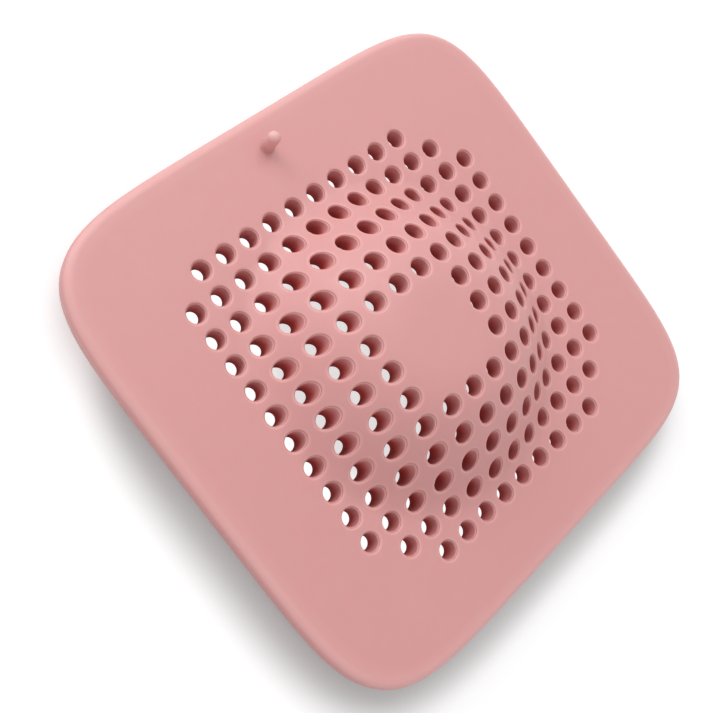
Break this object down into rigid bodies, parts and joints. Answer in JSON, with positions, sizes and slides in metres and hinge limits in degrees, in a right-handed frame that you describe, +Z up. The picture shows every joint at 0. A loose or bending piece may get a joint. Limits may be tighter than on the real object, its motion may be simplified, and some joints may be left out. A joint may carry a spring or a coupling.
{
  "type": "drain protector",
  "caption": "Nearly square soft silicone drain cover with a perforated dome, a lift nub and suction cups underneath, which lies over a shower drain and catches hair.",
  "frame": {"origin": "centre of the plate's outline, on the floor under the suction cups' rims", "axes": "+Z up through the dome; +Y towards the edge with the lift nub; +X to the right of it"},
  "size_m": [0.14, 0.134, 0.0304],
  "materials": {
    "plate_silicone": "matte",
    "nub_silicone": "matte",
    "neck_silicone": "matte",
    "cup_silicone": "matte"
  },
  "bodies": {
    "strainer": {"strainer_plate": "plate_silicone", "lift_nub": "nub_silicone", "cup_neck_front_left": "neck_silicone", "cup_neck_front_right": "neck_silicone", "cup_neck_back_right": "neck_silicone", "cup_neck_back_left": "neck_silicone"},
    "cup_front_left": {"suction_cup_front_left": "cup_silicone"},
    "cup_front_right": {"suction_cup_front_right": "cup_silicone"},
    "cup_back_right": {"suction_cup_back_right": "cup_silicone"},
    "cup_back_left": {"suction_cup_back_left": "cup_silicone"}
  },
  "joints": [
    {"name": "press_front_left", "type": "slide", "parent": "strainer", "child": "cup_front_left", "axis": [0, 0, 1], "range_m": [0, 0.0015], "deforming": ["suction_cup_front_left"]},
    {"name": "press_front_right", "type": "slide", "parent": "strainer", "child": "cup_front_right", "axis": [0, 0, 1], "range_m": [0, 0.0015], "deforming": ["suction_cup_front_right"]},
    {"name": "press_back_right", "type": "slide", "parent": "strainer", "child": "cup_back_right", "axis": [0, 0, 1], "range_m": [0, 0.0015], "deforming": ["suction_cup_back_right"]},
    {"name": "press_back_left", "type": "slide", "parent": "strainer", "child": "cup_back_left", "axis": [0, 0, 1], "range_m": [0, 0.0015], "deforming": ["suction_cup_back_left"]}
  ]
}
